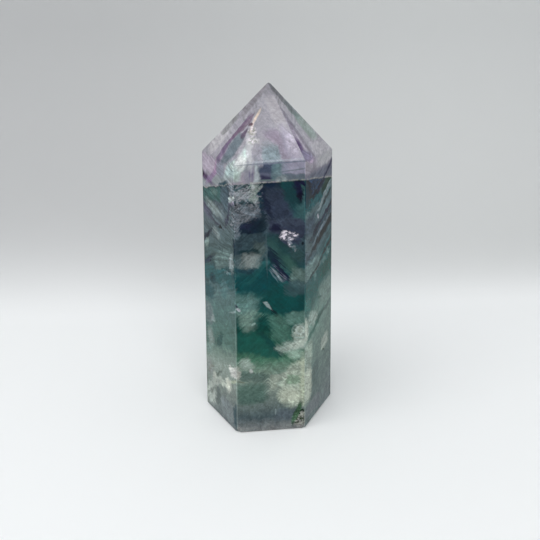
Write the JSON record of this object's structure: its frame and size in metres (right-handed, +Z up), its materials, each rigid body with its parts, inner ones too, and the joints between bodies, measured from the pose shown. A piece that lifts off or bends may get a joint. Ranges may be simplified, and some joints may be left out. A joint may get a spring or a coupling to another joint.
{
  "type": "fluorite point",
  "caption": "Polished see-through fluorite crystal, a tapered hexagonal prism that stands on a flat base and ends in a faceted pyramid tip.",
  "frame": {"origin": "centre of the flat base's bounding rectangle, on the surface the stone stands on", "axes": "+Z up the long axis to the tip, -Y out of the front face"},
  "size_m": [0.0396, 0.0348, 0.0982],
  "materials": {
    "fluorite": "polished, zoned grey-lavender, violet and teal, with milky clouds"
  },
  "bodies": {
    "root": {"fluorite_point": "fluorite"}
  },
  "joints": []
}
